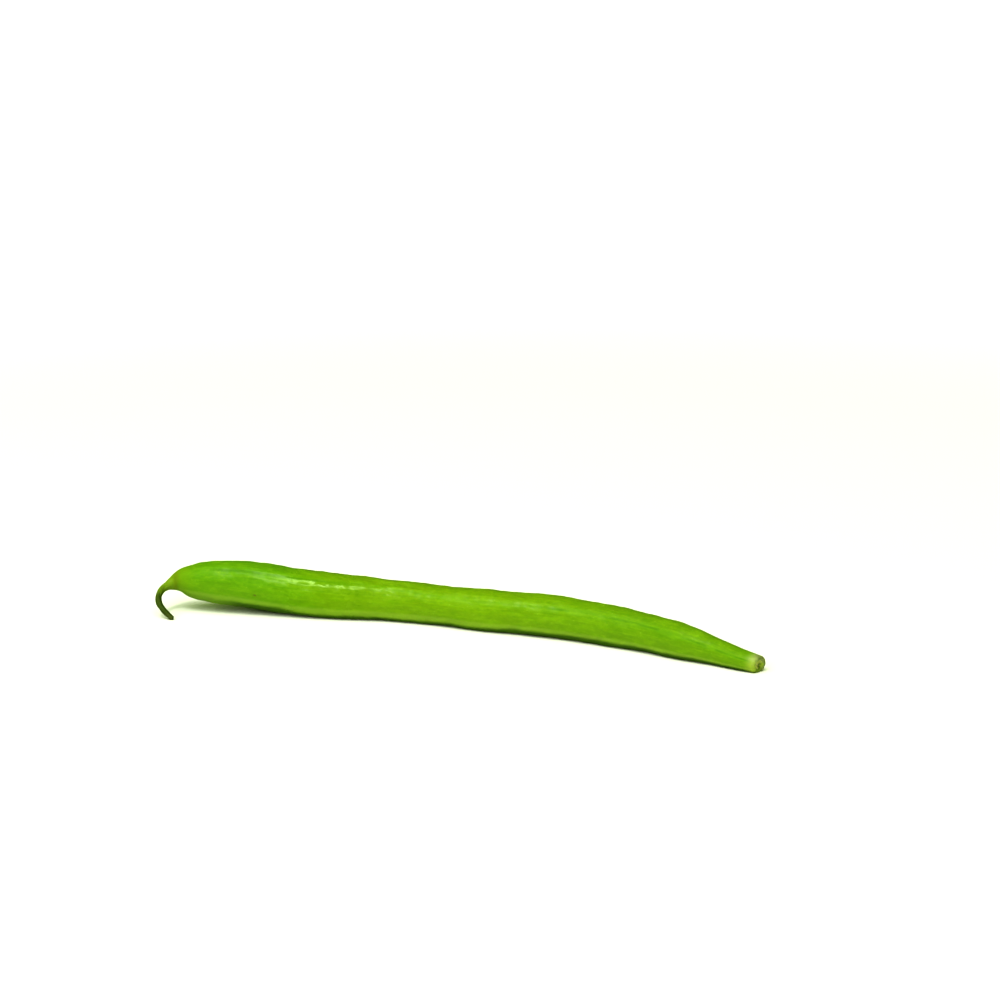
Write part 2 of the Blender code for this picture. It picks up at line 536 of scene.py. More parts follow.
def loft(name: str, patch: Patch, start: Vector | Array, end: Vector | Array) -> bpy.types.Mesh:
    """A closed mesh through the rings of a patch.

    Args:
        name: The mesh's name.
        patch: The rings, which run clockwise seen along the bean from its stem scar.
        start: The middle point that closes the first ring.
        end: The middle point that closes the last ring.

    Returns:
        The mesh, smooth, with the patch's facts as attributes of its points.
    """
    rings, sides, _ = patch.points.shape
    index = np.arange(rings * sides).reshape(rings, sides)
    after = np.roll(index, -1, axis=1)
    walls = np.stack([index[:-1], after[:-1], after[1:], index[1:]], axis=-1).reshape(-1, 4)
    first, last = rings * sides, rings * sides + 1
    caps = [(first, after[0, side], index[0, side]) for side in range(sides)]
    caps += [(last, index[-1, side], after[-1, side]) for side in range(sides)]
    vertices = np.vstack([patch.points.reshape(-1, 3), start, end])
    mesh = bpy.data.meshes.new(name)
    mesh.from_pydata(vertices.tolist(), [], walls.tolist() + [tuple(map(int, cap)) for cap in caps])
    for fact, values in patch.facts.items():
        ends = [values[0].mean(axis=0), values[-1].mean(axis=0)]
        is_vector = values.ndim == 3
        attribute = mesh.attributes.new(fact, "FLOAT_VECTOR" if is_vector else "FLOAT", "POINT")
        flat = np.concatenate([values.reshape(first, -1), np.reshape(ends, (2, -1))]).astype(np.float32)
        attribute.data.foreach_set("vector" if is_vector else "value", flat.ravel())
    mesh.shade_smooth()
    mesh.set_sharp_from_angle(angle=CREASE)
    mesh.validate()
    return mesh


def add_piece(name: str, mesh: bpy.types.Mesh) -> bpy.types.Object:
    """A piece of the bean, which rides on its body and stands for its solid.

    Args:
        name: The piece's name.
        mesh: Its mesh.

    Returns:
        The piece.
    """
    piece = bpy.data.objects.new(name, mesh)
    bpy.context.scene.collection.objects.link(piece)
    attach(piece, BODY)
    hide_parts(CAD_NODE)
    return piece


class Signal:
    """A shader socket that Python's operators work on.

    Numbers are joined by Math nodes and vectors by Vector Math nodes. Colours are mixed by pick.
    """

    def __init__(self, graph: "Graph", socket: bpy.types.NodeSocket) -> None:
        """Wraps an output socket of the graph."""
        self.graph = graph
        self.socket = socket

    def _joined(self, operation: str, first: "Value", second: "Value") -> "Signal":
        """One node that joins two values, at least one of them a signal.

        Args:
            operation: What the node does.
            first: The first value.
            second: The second value.

        Returns:
            The node's output.
        """
        kinds = {value.socket.type for value in (first, second) if isinstance(value, Signal)}
        kind = "ShaderNodeVectorMath" if "VECTOR" in kinds else "ShaderNodeMath"
        return self.graph.node(kind, {"operation": operation}, {0: first, 1: second})

    def __add__(self, other: "Value") -> "Signal":
        """This value plus another."""
        return self._joined("ADD", self, other)

    def __radd__(self, other: "Value") -> "Signal":
        """Another value plus this one."""
        return self._joined("ADD", other, self)

    def __sub__(self, other: "Value") -> "Signal":
        """This value less another."""
        return self._joined("SUBTRACT", self, other)

    def __rsub__(self, other: "Value") -> "Signal":
        """Another value less this one."""
        return self._joined("SUBTRACT", other, self)

    def __mul__(self, other: "Value") -> "Signal":
        """This value times another."""
        return self._joined("MULTIPLY", self, other)

    def __rmul__(self, other: "Value") -> "Signal":
        """Another value times this one."""
        return self._joined("MULTIPLY", other, self)

    def step(self, low: float, high: float) -> "Signal":
        """Makes a mask of this number, level at both ends.

        Args:
            low: Where the mask leaves 0.
            high: Where it reaches 1. It may lie below low.

        Returns:
            The mask.
        """
        if low > high:
            return 1 - self.step(high, low)
        values = {"Value": self, "From Min": low, "From Max": high}
        return self.graph.node("ShaderNodeMapRange", {"interpolation_type": "SMOOTHSTEP"}, values)

    def swing(self, amount: float) -> "Signal":
        """How far this noise is from its middle, times an amount."""
        return (self - 0.5) * amount

    def pick(self, off: "Value", on: "Value", blend: Blend = Blend.MIX) -> "Signal":
        """A colour that is off where this number is 0, and on, or blended with it, where it is 1."""
        settings = {"data_type": "RGBA", "blend_type": blend.value, "clamp_factor": True}
        return self.graph.node("ShaderNodeMix", settings, {"Factor": self, "A": off, "B": on})


Value = Signal | float | Colour


class Cells(NamedTuple):
    """The cells of a noise."""

    length: float  # along the bean, in millimetres
    width: float  # across it
    detail: float = 2.0  # how many finer layers the noise has
    roughness: float = 0.5  # how strong they are

    def scaled(self, place: Signal) -> Signal:
        """A place in millimetres, counted in these cells."""
        return place * (1 / self.length, 1 / self.width, 1 / self.width)


class Graph:
    """A shader's node tree."""

    def __init__(self, tree: bpy.types.NodeTree) -> None:
        """Takes over a tree, with the shader that stands in it."""
        self.tree = tree

    @classmethod
    def of_material(cls, name: str) -> "Graph":
        """The tree of a new material."""
        material = bpy.data.materials.new(name)
        material.use_nodes = True
        return cls(material.node_tree)

    def node(
        self,
        kind: str,
        settings: dict[str, object],
        values: dict[str | int, Value],
        output: str | None = None,
    ) -> Signal:
        """Adds a node.

        Args:
            kind: The node's type.
            settings: Its own properties, such as a Math node's operation, which are set first.
            values: What its sockets, given by name or number, hold or are linked to.
            output: The name of the output to read, or None for the first that is in use.

        Returns:
            The node's output.
        """
        made = self.tree.nodes.new(kind)
        for name, setting in settings.items():
            setattr(made, name, setting)
        for key, value in values.items():
            self._fill(self._socket(made.inputs, key), value)
        return Signal(self, self._socket(made.outputs, output))

    @staticmethod
    def _socket(sockets: bpy.types.bpy_prop_collection, key: str | int | None) -> bpy.types.NodeSocket:
        """The socket in use that has this name, or this number, or is the first.

        Args:
            sockets: A node's inputs or outputs.
            key: The socket's number or name, or None for the first in use.

        Returns:
            The socket.
        """
        if isinstance(key, int):
            return sockets[key]
        return next(s for s in sockets if s.enabled and key in (None, s.name))

    def _fill(self, socket: bpy.types.NodeSocket, value: Value) -> None:
        """Links a signal to a socket, or sets it to a number or a colour.

        Args:
            socket: An input socket.
            value: What it is to hold.
        """
        if isinstance(value, Signal):
            self.tree.links.new(value.socket, socket)
            return
        size = {"RGBA": 4, "VECTOR": 3}.get(socket.type)
        if size is None:
            socket.default_value = value
            return
        numbers = value if isinstance(value, tuple) else (value,) * 3
        socket.default_value = (*numbers, 1.0)[:size]

    def number(self, name: str) -> Signal:
        """One of the mesh's number attributes."""
        return self.node("ShaderNodeAttribute", {"attribute_name": name}, {}, "Fac")

    def vector(self, name: str) -> Signal:
        """One of the mesh's vector attributes."""
        return self.node("ShaderNodeAttribute", {"attribute_name": name}, {}, "Vector")

    def noise(self, place: Signal, cells: Cells) -> Signal:
        """Noise round 0.5, from 0 to 1, read at a place in millimetres."""
        layers = {"Detail": cells.detail, "Roughness": cells.roughness}
        values = {"Vector": cells.scaled(place), "Scale": 1.0} | layers
        return self.node("ShaderNodeTexNoise", {"noise_dimensions": "3D"}, values)

    def spots(self, place: Signal, cells: Cells) -> Signal:
        """The distance, in cells, from the nearest of many scattered points."""
        values = {"Vector": cells.scaled(place), "Scale": 1.0}
        return self.node("ShaderNodeTexVoronoi", {"feature": "F1"}, values, "Distance")

    def bump(self, height: Signal, depth: float) -> Signal:
        """A normal that follows a height from 0 to 1, which stands for this depth in metres."""
        return self.node("ShaderNodeBump", {}, {"Height": height, "Distance": depth, "Strength": 1.0})

    def finish(self, shader: str, varying: dict[str, Signal], even: dict[str, float | Colour]) -> None:
        """Fills the sockets of the shader.

        Args:
            shader: The name of the shader's node.
            varying: What changes over the surface, by the name of its socket.
            even: What is the same all over, by the name of its socket.
        """
        for name, value in (varying | even).items():
            self._fill(self.tree.nodes[shader].inputs[name], value)


class Tint(NamedTuple):
    """A colour that is laid over a skin where a signal is high, or where it is low."""

    colour: Colour
    none: float  # the signal where nothing of it shows
    full: float  # the signal where most of it shows
    share: float = 1.0  # how much that is
    blend: Blend = Blend.MIX

    def over(self, skin: Value, signal: Signal, where: Signal | float = 1.0) -> Signal:
        """Lays this colour over a skin.

        Args:
            skin: The colour below.
            signal: What the limits are read on.
            where: A second mask, from 0 to 1.

        Returns:
            The colour of both.
        """
        shown = signal.step(self.none, self.full) * (self.share * where)
        return shown.pick(skin, self.colour, self.blend)


PRINCIPLED = "Principled BSDF"


def wear(piece: bpy.types.Object, graph: Graph) -> None:
    """Gives a piece the material that a graph belongs to."""
    piece.data.materials.append(next(m for m in bpy.data.materials if m.node_tree == graph.tree))


PALE_GREEN: Colour = (0.23, 0.40, 0.010)
DARK_GREEN: Colour = (0.090, 0.235, 0.003)
# the colour that painted shade multiplies into the skin
SHADE: Colour = (0.24, 0.35, 0.10)


@dataclass(frozen=True)
class PodSkin:
    """The pod's satin green skin.

    Its greens drift along the pod and in soft patches. Fine fibres run lengthwise, minute pale dots
    lie between them, and the seam is a dark line between paler edges. Painted light and shade lie on
    the lower side: the sides are painted lighter towards their lower edge, a pale painted light from the
    table lies along that edge, and a painted shade darkens the underside. Towards the stem scar the skin
    turns pale, with a painted shade on the neck's upper back and at its bottom, and the scar's lip is olive
    grey on the far side, partly its own colour and partly painted shade. Towards the beak it turns yellow,
    then brown.

    Masks on the way from the lip, or past the pod's end, have their limits in millimetres. Those on
    the upper or the front side run from -1, straight down or back, to 1.
    """

    drift_cells: Cells = Cells(26.0, 9.0)
    patch_cells: Cells = Cells(4.5, 2.4, 3.0, 0.6)
    mottle_cells: Cells = Cells(0.9, 0.6, 3.0, 0.6)
    fibre_cells: Cells = Cells(9.0, 0.30)
    pore_cells: Cells = Cells(0.26, 0.17, 3.0, 0.65)
    dot_cells: Cells = Cells(0.95, 0.75)

    drift: float = 24.0  # how far the greens wander along the pod, in millimetres
    leafy: Colour = (0.140, 0.276, 0.003)
    fresh: Tint = Tint((0.172, 0.304, 0.003), 30.0, 62.0)
    deep: Tint = Tint((0.122, 0.290, 0.003), 92.0, 112.0)
    pale_patches: Tint = Tint(PALE_GREEN, 0.52, 0.75, 0.45)
    dark_patches: Tint = Tint(DARK_GREEN, 0.48, 0.25, 0.40)
    pale_mottle: Tint = Tint(PALE_GREEN, 0.50, 0.72, 0.30)
    dark_mottle: Tint = Tint(DARK_GREEN, 0.50, 0.30, 0.30)
    pale_fibres: Tint = Tint(PALE_GREEN, 0.50, 0.70, 0.30)
    dark_fibres: Tint = Tint(DARK_GREEN, 0.48, 0.30, 0.22)
    dots: Tint = Tint((0.30, 0.47, 0.06), 0.20, 0.08, 0.40)
    dotted_patches: Limits = (0.42, 0.60)

    seam_edge: Tint = Tint((0.17, 0.37, 0.006), 0.35, 0.90, 0.20)
    seam_line: Tint = Tint((0.060, 0.190, 0.002), 0.02, 1.1)
    seam_gap_cells: Cells = Cells(4.0, 2.0)
    seam_gaps: Limits = (0.30, 0.62)
    seam_share: float = 0.15
    seam_end_share: float = 0.50  # how much more of the seam shows at both ends
    seam_at_stem: Limits = (60.0, 44.0)
    seam_at_beak: Limits = (94.0, 112.0)

    waver: float = 0.12  # how far the patches move the painted light and shade below up and down
    # painted light: the flank is painted lighter towards the lower edge
    painted_flank_light: Tint = Tint((0.24, 0.40, 0.006), 0.45, -0.10, 0.20)
    # painted light: a pale light from the table, painted along the lower edge
    painted_table_light: Tint = Tint((0.29, 0.42, 0.055), -0.28, -0.44, 0.48)
    # painted shade: the underside is painted darker where the bean lies on the table
    painted_underside_shade: Tint = Tint(SHADE, -0.46, -0.66, 1.0, Blend.MULTIPLY)
    painted_shade_lower: float = 0.09  # how much lower the painted underside shade begins in the slim middle
    slim_from: Limits = (-24.0, -34.0)
    slim_to: Limits = (-80.0, -66.0)
    painted_shade_share: float = 0.30
    painted_shade_more: float = 0.64  # how much darker the painted underside shade is away from the beak
    painted_shade_deepens: Limits = (-10.0, -20.0)

    shoulder: Tint = Tint((0.17, 0.30, 0.006), -8.5, -3.0, 0.75)
    dry_line: Tint = Tint((0.17, 0.135, 0.008), -3.6, -2.0, 0.34)
    dry_line_ends: Limits = (-0.3, -1.7)
    beak_green: Tint = Tint((0.185, 0.285, 0.013), -2.0, -0.2)
    beak_end_tilt: float = 0.9  # how much earlier these begin above than at the side, in millimetres
    beak_end_fibred: float = 1.6  # how far the fibres move them
    beak_end_patched: float = 2.4

    # painted shade: the neck's upper back is painted a darker olive
    painted_neck_back_shade: Tint = Tint((0.115, 0.175, 0.012), 0.10, -0.45, 0.50)
    neck_upper: Limits = (-0.2, 0.5)
    neck_way: Limits = (34.0, 10.0)
    neck_ragged: float = 0.3
    collar: Colour = (0.34, 0.43, 0.055)
    collar_way: Limits = (3.8, 0.9)
    collar_share: float = 0.88
    collar_ragged: float = 1.4
    faded: Tint = Tint((0.36, 0.41, 0.150), -0.1, 0.9)
    faded_ragged: float = 1.2
    # painted shade: the neck's bottom next to the scar is painted darker
    painted_neck_shade: Tint = Tint(SHADE, -0.52, -0.88, 0.60, Blend.MULTIPLY)
    painted_neck_shade_way: Limits = (14.0, 5.0)
    # the lip's far side is olive grey, partly its own colour and partly painted shade
    lip_far_colour_and_shade: Tint = Tint((0.21, 0.245, 0.080), -0.45, 0.25)
    rim_from: Limits = (0.2, 0.8)
    rim_to: Limits = (2.6, 1.4)
    rim_tilt: float = 0.45
    rim_ragged: float = 0.8

    speck: Tint = Tint((0.12, 0.075, 0.02), 0.045, 0.02, 0.6)
    speck_cells: Cells = Cells(11.0, 6.0)
    speck_edge_cells: Cells = Cells(0.3, 0.3)
    speck_ragged: float = 0.03

    smoothest: float = 0.18  # the least roughness
    mottle_dulls: float = 0.10
    patches_dull: float = 0.12
    dry_dulls: float = 0.22
    shine: float = 0.05  # how much less rough the bulge's near end is
    shine_from: Limits = (92.0, 98.0)
    shine_to: Limits = (110.0, 104.0)
    dry_at_beak: Limits = (-2.5, 0.5)
    dry_at_stem: Limits = (70.0, 5.0)
    dry_on_bulge: Limits = (-31.0, -16.0)
    dry_in_middle: Limits = (-40.0, -55.0)
    bulge_dryness: float = 0.95
    middle_dryness: float = 0.35

    pore_relief: float = 0.45
    fibre_relief: float = 0.35
    mottle_relief: float = 0.35
    relief_depth: float = 0.035 * MM

    def dress(self, piece: bpy.types.Object) -> None:
        """Gives a piece this finish.

        Args:
            piece: What wears it.
        """
        graph = Graph.of_material("pod_skin")
        grain, way, past_pod = graph.vector("grain"), graph.number("from_rim"), graph.number("past_pod")
        upper, front = graph.number("upper_side"), graph.number("front_side")
        patches = graph.noise(grain, self.patch_cells)
        mottle = graph.noise(grain, self.mottle_cells)
        fibres = graph.noise(grain, self.fibre_cells)

        place = way + graph.noise(grain, self.drift_cells).swing(self.drift)
        green = self.fresh.over(self.leafy, place)
        green = self.deep.over(green, place)
        for pattern, pale, dark in (
            (patches, self.pale_patches, self.dark_patches),
            (mottle, self.pale_mottle, self.dark_mottle),
            (fibres, self.pale_fibres, self.dark_fibres),
        ):
            green = dark.over(pale.over(green, pattern), pattern)
        dots = graph.spots(grain, self.dot_cells)
        green = self.dots.over(green, dots, patches.step(*self.dotted_patches))
        green = self._seams(graph, green, way)
        green = self._painted_light_and_shade_below(green, upper + patches.swing(self.waver), past_pod)
        green = self._beak_end(green, past_pod, upper, patches, fibres)
        green = self._stem_end(green, way, upper, front, mottle)
        green = self._specks(graph, green, grain)

        height = graph.noise(grain, self.pore_cells) * self.pore_relief
        height = height + fibres * self.fibre_relief + mottle * self.mottle_relief
        graph.finish(
            PRINCIPLED,
            {
                "Base Color": green,
                "Roughness": self._roughness(way, past_pod, mottle, patches),
                "Normal": graph.bump(height, self.relief_depth),
            },
            {
                "Subsurface Weight": 0.18,
                "Subsurface Radius": (0.5, 1.0, 0.15),
                "Subsurface Scale": 1.2 * MM,
                "Specular IOR Level": 0.5,
                "Specular Tint": (0.75, 1.0, 0.40),
                "Coat Weight": 0.06,
                "Coat Roughness": 0.20,
            },
        )
        wear(piece, graph)

    def _seams(self, graph: Graph, green: Signal, way: Signal) -> Signal:
        """The broken dark line in the seam's groove, with paler skin on both sides of it.

        Args:
            graph: The finish's node tree.
            green: The colour below.
            way: The way over the skin from the lip.

        Returns:
            The colour with the seams in it.
        """
        at_ends = way.step(*self.seam_at_stem) + way.step(*self.seam_at_beak)
        strength = self.seam_share + self.seam_end_share * at_ends
        unbroken = graph.noise(graph.vector("grain"), self.seam_gap_cells).step(*self.seam_gaps)
        green = self.seam_edge.over(green, graph.number("seam"))
        return self.seam_line.over(green, graph.number("groove"), strength * unbroken)

    def _painted_light_and_shade_below(self, green: Signal, turned: Signal, past_pod: Signal) -> Signal:
        """Painted light on the lighter flank and pale lower edge, and painted shade on the dark underside.

        Args:
            green: The colour below.
            turned: How far the skin faces up, made uneven.
            past_pod: The distance past the pod's end.

        Returns:
            The colour with these in it.
        """
        green = self.painted_table_light.over(self.painted_flank_light.over(green, turned), turned)
        slim = past_pod.step(*self.slim_from) * past_pod.step(*self.slim_to)
        share = self.painted_shade_share + self.painted_shade_more * past_pod.step(*self.painted_shade_deepens)
        return self.painted_underside_shade.over(green, turned + self.painted_shade_lower * slim, share)

    def _beak_end(
        self, green: Signal, past_pod: Signal, upper: Signal, patches: Signal, fibres: Signal
    ) -> Signal:
        """The yellow shoulder, the brown line and the dark green where the beak begins.

        Args:
            green: The colour below.
            past_pod: The distance past the pod's end.
            upper: How far the skin faces up.
            patches: The noise of the soft patches.
            fibres: The noise of the fibres.

        Returns:
            The colour with these in it.
        """
        place = past_pod + upper * self.beak_end_tilt
        place = place + fibres.swing(self.beak_end_fibred) + patches.swing(self.beak_end_patched)
        green = self.shoulder.over(green, place)
        green = self.dry_line.over(green, place, place.step(*self.dry_line_ends))
        return self.beak_green.over(green, place)

    def _stem_end(
        self, green: Signal, way: Signal, upper: Signal, front: Signal, mottle: Signal
    ) -> Signal:
        """The painted shade on the neck's upper back and bottom, the pale collar next to the scar, and the
        lip's grey far side, which is partly its own colour and partly painted shade.

        Args:
            green: The colour below.
            way: The way over the skin from the lip.
            upper: How far the skin faces up.
            front: How far the skin faces the front.
            mottle: The noise of the fine mottle.

        Returns:
            The colour with these in it.
        """
        on_neck = upper.step(*self.neck_upper) * way.step(*self.neck_way)
        green = self.painted_neck_back_shade.over(green, front + mottle.swing(self.neck_ragged), on_neck)
        ragged = way + mottle.swing(self.collar_ragged)
        collar = self.faded.over(self.collar, upper + mottle.swing(self.faded_ragged))
        green = (ragged.step(*self.collar_way) * self.collar_share).pick(green, collar)
        green = self.painted_neck_shade.over(green, upper, ragged.step(*self.painted_neck_shade_way))
        on_lip = ragged.step(*self.rim_from) * ragged.step(*self.rim_to)
        far = upper * self.rim_tilt - front + mottle.swing(self.rim_ragged)
        return self.lip_far_colour_and_shade.over(green, far, on_lip)

    def _specks(self, graph: Graph, green: Signal, grain: Signal) -> Signal:
        """A few tiny rust-brown specks."""
        edge = graph.noise(grain, self.speck_edge_cells).swing(self.speck_ragged)
        return self.speck.over(green, graph.spots(grain, self.speck_cells) + edge)

    def _roughness(self, way: Signal, past_pod: Signal, mottle: Signal, patches: Signal) -> Signal:
        """Glossiest on the bulge's near end, and dull towards the beak and the stem scar.

        Args:
            way: The way over the skin from the lip.
            past_pod: The distance past the pod's end.
            mottle: The noise of the fine mottle.
            patches: The noise of the soft patches.

        Returns:
            The roughness.
        """
        gloss = self.smoothest + mottle * self.mottle_dulls + patches * self.patches_dull
        shine = way.step(*self.shine_from) * way.step(*self.shine_to) * self.shine
        dryness = past_pod.step(*self.dry_at_beak) + way.step(*self.dry_at_stem)
        dryness = dryness + past_pod.step(*self.dry_on_bulge) * self.bulge_dryness
        dryness = dryness + past_pod.step(*self.dry_in_middle) * self.middle_dryness
        return gloss - shine + dryness * self.dry_dulls


@dataclass(frozen=True)
class BeakSkin:
    """The beak's dry skin: a green root, then dark olive, streaked lengthwise, and brown at its tip."""

    streak_cells: Cells = Cells(3.0, 0.16, 3.0, 0.6)
    patch_cells: Cells = Cells(1.6, 0.8, 3.0)
    grit_cells: Cells = Cells(0.22, 0.12, 3.0)
    olive: Colour = (0.042, 0.074, 0.006)
    light: Tint = Tint((0.100, 0.132, 0.018), 0.48, 0.72)
    dark: Tint = Tint((0.024, 0.045, 0.004), 0.50, 0.30, 0.8)
    root: Tint = Tint((0.185, 0.285, 0.013), 5.0, 0.0)  # limits in millimetres past the pod
    brown: Tint = Tint((0.130, 0.125, 0.040), 7.0, 13.0, 0.8)
    ragged: float = 3.0  # how far the patches move those two, in millimetres
    ragged_from: Limits = (0.0, 1.5)
    smoothest: float = 0.46  # the least roughness
    patches_dull: float = 0.22
    streak_relief: float = 0.7
    grit_relief: float = 0.4
    relief_depth: float = 0.05 * MM

    def dress(self, piece: bpy.types.Object) -> None:
        """Gives a piece this finish.

        Args:
            piece: What wears it.
        """
        graph = Graph.of_material("beak")
        grain, past_pod = graph.vector("grain"), graph.number("past_pod")
        streaks = graph.noise(grain, self.streak_cells)
        patches = graph.noise(grain, self.patch_cells)
        skin = self.light.over(self.olive, streaks)
        skin = self.dark.over(skin, streaks)
        place = past_pod + patches.swing(self.ragged) * past_pod.step(*self.ragged_from)
        skin = self.brown.over(self.root.over(skin, place), place)
        height = streaks * self.streak_relief + graph.noise(grain, self.grit_cells) * self.grit_relief
        graph.finish(
            PRINCIPLED,
            {
                "Base Color": skin,
                "Roughness": self.smoothest + patches * self.patches_dull,
                "Normal": graph.bump(height, self.relief_depth),
            },
            {
                "Subsurface Weight": 0.06,
                "Subsurface Radius": (0.5, 0.8, 0.2),
                "Subsurface Scale": 0.4 * MM,
                "Specular IOR Level": 0.40,
                "Specular Tint": (0.85, 1.0, 0.55),
            },
        )
        wear(piece, graph)


@dataclass(frozen=True)
class ScarTissue:
    """The broken tissue of the stem scar: pale and fibrous, with a dark pit."""

    blotch_cells: Cells = Cells(0.5, 0.45, 3.0, 0.6)
    crumb_cells: Cells = Cells(0.09, 0.07, 3.0, 0.7)
    pale: Colour = (0.44, 0.52, 0.10)
    straw: Tint = Tint((0.50, 0.46, 0.20), 0.42, 0.62)
    olive: Tint = Tint((0.16, 0.19, 0.055), 0.52, 0.30, 0.7)
    # the pit is darker, partly its own tissue and partly painted shade in the hollow
    pit: Tint = Tint((0.20, 0.24, 0.040), 0.15, 0.75)
    pit_ragged: float = 0.4
    smoothest: float = 0.60  # the least roughness
    crumbs_dull: float = 0.3
    relief_depth: float = 0.06 * MM

    def dress(self, piece: bpy.types.Object) -> None:
        """Gives a piece this finish.

        Args:
            piece: What wears it.
        """
        graph = Graph.of_material("stem_scar")
        grain = graph.vector("grain")
        blotches = graph.noise(grain, self.blotch_cells)
        crumbs = graph.noise(grain, self.crumb_cells)
        tissue = self.olive.over(self.straw.over(self.pale, blotches), crumbs)
        tissue = self.pit.over(tissue, graph.number("pit") + blotches.swing(self.pit_ragged))
        graph.finish(
            PRINCIPLED,
            {
                "Base Color": tissue,
                "Roughness": self.smoothest + crumbs * self.crumbs_dull,
                "Normal": graph.bump(crumbs, self.relief_depth),
            },
            {
                "Subsurface Weight": 0.15,
                "Subsurface Radius": (0.8, 0.9, 0.3),
                "Subsurface Scale": 0.5 * MM,
                "Specular IOR Level": 0.30,
            },
        )
        wear(piece, graph)


@dataclass(frozen=True)
class StemLip:
    """The sizes of the round lip at the stem end, and of the hole that it goes round."""

    radius: float = 0.5 * MM
    hole_depth: float = 0.9 * MM
    steps: int = 18
    ragged: float = 0.16 * MM
    ragged_size: float = 0.8 * MM

    @property
    def way(self) -> float:
        """The way over the lip."""
        return pi * self.radius

    def reach(self, shape: BeanShape) -> float:
        """The bean's radius at its stem end."""
        _, radii = shape.spine.at(np.zeros(1))
        return float(radii[0])

    def share(self, shape: BeanShape) -> float:
        """The share of the bean's reach at which the lip has its inner edge."""
        return 1 - 2 * self.radius / self.reach(shape)

    def rings(self, shape: BeanShape) -> Rings:
        """The rings from the floor of the hole out over the lip, up to its outer edge.

        Args:
            shape: The bean that has the lip.

        Returns:
            The rings, in that order.
        """
        inner = self.share(shape)
        over = np.linspace(0.0, pi, self.steps, endpoint=False)
        shares = np.concatenate([[inner], inner + (1 - inner) * (1 - np.cos(over)) / 2])
        depths = np.concatenate([[self.hole_depth], -self.radius * np.sin(over)])
        ways = np.concatenate([[-self.hole_depth], self.radius * over])
        raised = np.concatenate([[0.0], np.sin(over)])[:, None]
        around = np.stack([np.cos(shape.turns), np.sin(shape.turns)]) * self.reach(shape)
        places = np.stack(np.broadcast_arrays(ways[:, None], *around[:, None]), axis=-1)
        torn = self.ragged * raised * rough(places / self.ragged_size, octaves=2)
        level = np.ones_like(torn)
        forward = depths[:, None] - torn
        return Rings(np.zeros(len(ways)), shares[:, None] * level, forward, ways[:, None] * level)


@dataclass
class Pod:
    """The pod, from the hole inside the lip of its stem scar to where the beak begins."""

    shape: BeanShape
    lip: StemLip = field(default_factory=StemLip)
    finish: PodSkin = field(default_factory=PodSkin)
    ring_gap: float = 0.24 * MM
    end_hollow: float = 0.5 * MM

    def build(self) -> bpy.types.Object:
        """Makes the pod's mesh and puts its finish on.

        Returns:
            The piece.
        """
        count = round(self.shape.beak_start / self.ring_gap) + 1
        distances = np.linspace(0.0, self.shape.beak_start, count)
        body = Rings.full(distances, self.shape.sides, self.lip.way)
        patch = self.shape.patch(self.lip.rings(self.shape).then(body))
        ahead, _, _ = self.shape.spine.axes(distances[-1:])
        end = patch.points[-1].mean(axis=0) - ahead[0] * self.end_hollow
        mesh = loft("bean_pod", patch, patch.points[0].mean(axis=0), end)
        piece = add_piece("bean_pod", mesh)
        self.finish.dress(piece)
        return piece


@dataclass
class Beak:
    """The beak: the thin dry hook that is left of the flower, with its blunt tip."""

    shape: BeanShape
    lip: StemLip = field(default_factory=StemLip)
    finish: BeakSkin = field(default_factory=BeakSkin)
    ring_gap: float = 0.12 * MM
    end_hollow: float = 0.5 * MM
    tip_steps: int = 8

    def build(self) -> bpy.types.Object:
        """Makes the beak's mesh and puts its finish on.

        Returns:
            The piece.
        """
        length = self.shape.spine.length
        count = round((length - self.shape.beak_start) / self.ring_gap) + 1
        distances = np.linspace(self.shape.beak_start, length, count)
        body = Rings.full(distances, self.shape.sides, self.lip.way)
        patch = self.shape.patch(body.then(self._tip()))
        ahead, _, _ = self.shape.spine.axes(distances[:1])
        start = patch.points[0].mean(axis=0) + ahead[0] * self.end_hollow
        mesh = loft("bean_beak", patch, start, patch.points[-1].mean(axis=0))
        piece = add_piece("bean_beak", mesh)
        self.finish.dress(piece)
        return piece

    def _tip(self) -> Rings:
        """The rings that round off the tip.

        Returns:
            The rings, up to the last before its point.
        """
        length = self.shape.spine.length
        _, radii = self.shape.spine.at(np.array([length]))
        turns = np.linspace(0.0, pi / 2, self.tip_steps + 2)[1:-1, None]
        level = np.ones((self.tip_steps, self.shape.sides))
        forward = radii[0] * np.sin(turns)
        ways = length + self.lip.way + forward
        return Rings(np.full(self.tip_steps, length), np.cos(turns) * level, forward * level, ways * level)


